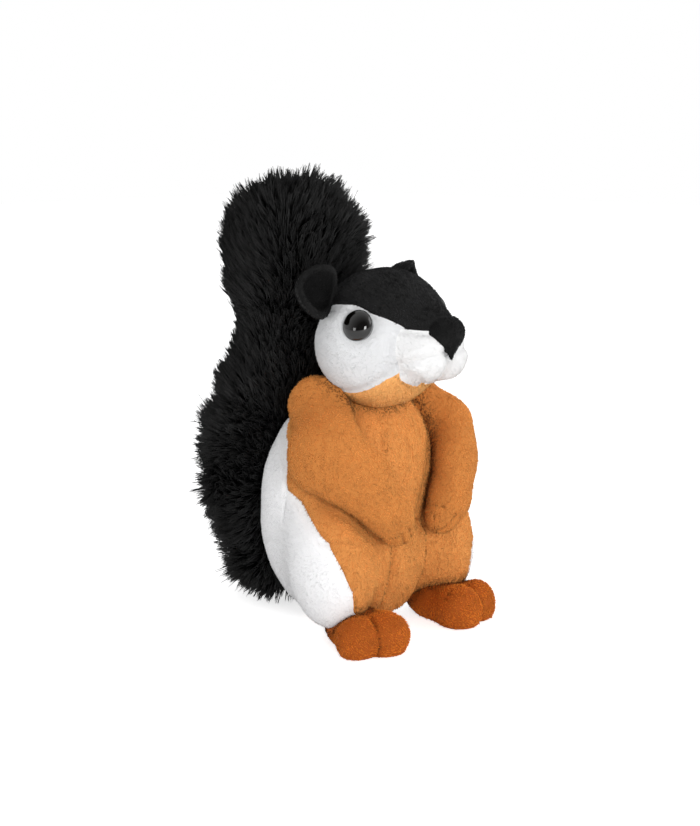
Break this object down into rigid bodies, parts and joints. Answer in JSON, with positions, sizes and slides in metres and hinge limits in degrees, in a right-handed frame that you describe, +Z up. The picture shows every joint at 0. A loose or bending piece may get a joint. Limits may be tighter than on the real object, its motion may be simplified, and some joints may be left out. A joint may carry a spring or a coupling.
{
  "type": "plush squirrel",
  "caption": "Sitting plush squirrel with rust arms and chest, white flanks and muzzle, a black crown and back, glossy safety eyes and a bushy black tail.",
  "frame": {"origin": "on the floor, under the middle of the bounding box", "axes": "+Z up, the squirrel looks along -Y, its left side is +X"},
  "size_m": [0.0926, 0.1365, 0.1877],
  "materials": {
    "rust_plush": "short plush pile",
    "dark_rust_plush": "short plush pile",
    "white_plush": "short plush pile",
    "pale_grey_plush": "short plush pile",
    "black_plush": "short plush pile",
    "black_nose_plush": "short plush pile",
    "black_long_pile": "long shaggy pile",
    "stuffing": "loose fibre",
    "eye_plastic": "glossy",
    "washer_plastic": "matte"
  },
  "bodies": {
    "root": {"arm_left": "rust_plush", "arm_right": "rust_plush", "back_panel": "black_plush", "base_panel": "rust_plush", "belly_panel": "rust_plush", "body_stuffing": "stuffing", "cheek_panel_left": "pale_grey_plush", "cheek_panel_right": "pale_grey_plush", "crown_panel": "black_plush", "ear_left": "black_plush", "ear_right": "black_plush", "eye_left": "eye_plastic", "eye_right": "eye_plastic", "eye_washer_left": "washer_plastic", "eye_washer_right": "washer_plastic", "flank_panel_left": "white_plush", "flank_panel_right": "white_plush", "foot_left": "dark_rust_plush", "foot_right": "dark_rust_plush", "head_stuffing": "stuffing", "muzzle_left": "white_plush", "muzzle_right": "white_plush", "nose": "black_nose_plush", "snout_panel": "white_plush", "tail": "black_long_pile", "thigh_panel_left": "rust_plush", "thigh_panel_right": "rust_plush", "throat_panel": "rust_plush"}
  },
  "joints": []
}
